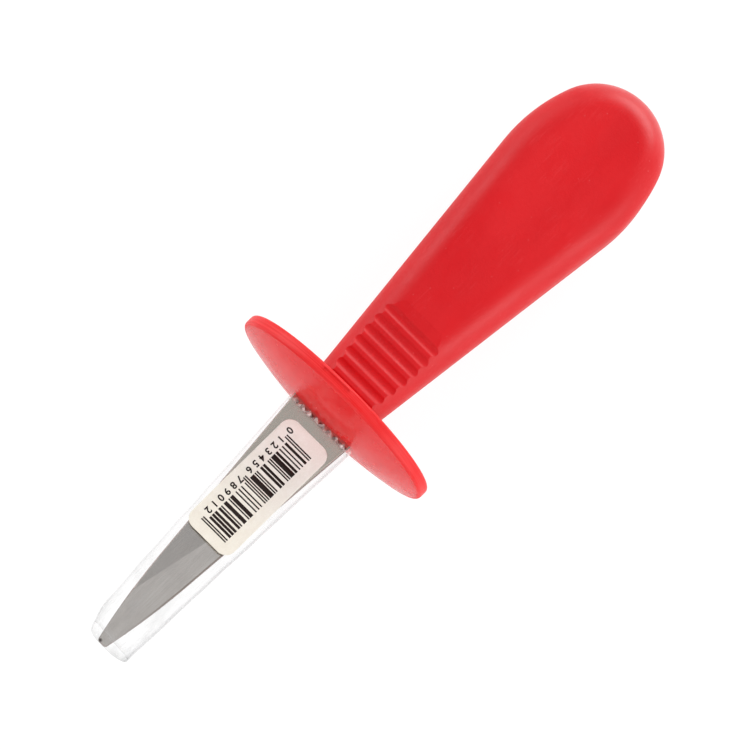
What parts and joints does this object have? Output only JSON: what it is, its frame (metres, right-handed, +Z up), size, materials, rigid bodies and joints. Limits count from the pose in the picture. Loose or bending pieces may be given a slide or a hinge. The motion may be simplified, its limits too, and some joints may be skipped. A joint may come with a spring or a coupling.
{
  "type": "oyster knife",
  "caption": "Short blunt-tipped oyster knife with a tapered moulded handle, an oval hand guard and a clear protective tube over the blade.",
  "frame": {"origin": "on the table, under the middle of the whole object as it lies on its guard and butt", "axes": "+X from the tip towards the butt, along the table; +Z up; +Y across the blade"},
  "size_m": [0.1594, 0.0506, 0.036],
  "materials": {
    "steel": "satin, ground along the blade",
    "guard_plastic": "smooth and shiny, red",
    "handle_plastic": "finely textured, red",
    "clear_film": "clear soft film, shiny",
    "label_paper": "uncoated cream paper"
  },
  "bodies": {
    "knife": {"blade": "steel", "guard": "guard_plastic", "handle": "handle_plastic"},
    "sleeve": {"blade_sleeve": "clear_film", "barcode_label": "label_paper"}
  },
  "joints": [
    {"name": "sleeve_slide", "type": "slide", "parent": "knife", "child": "sleeve", "axis": [-0.9945, 0, 0.1045], "range_m": [0, 0.065]}
  ]
}
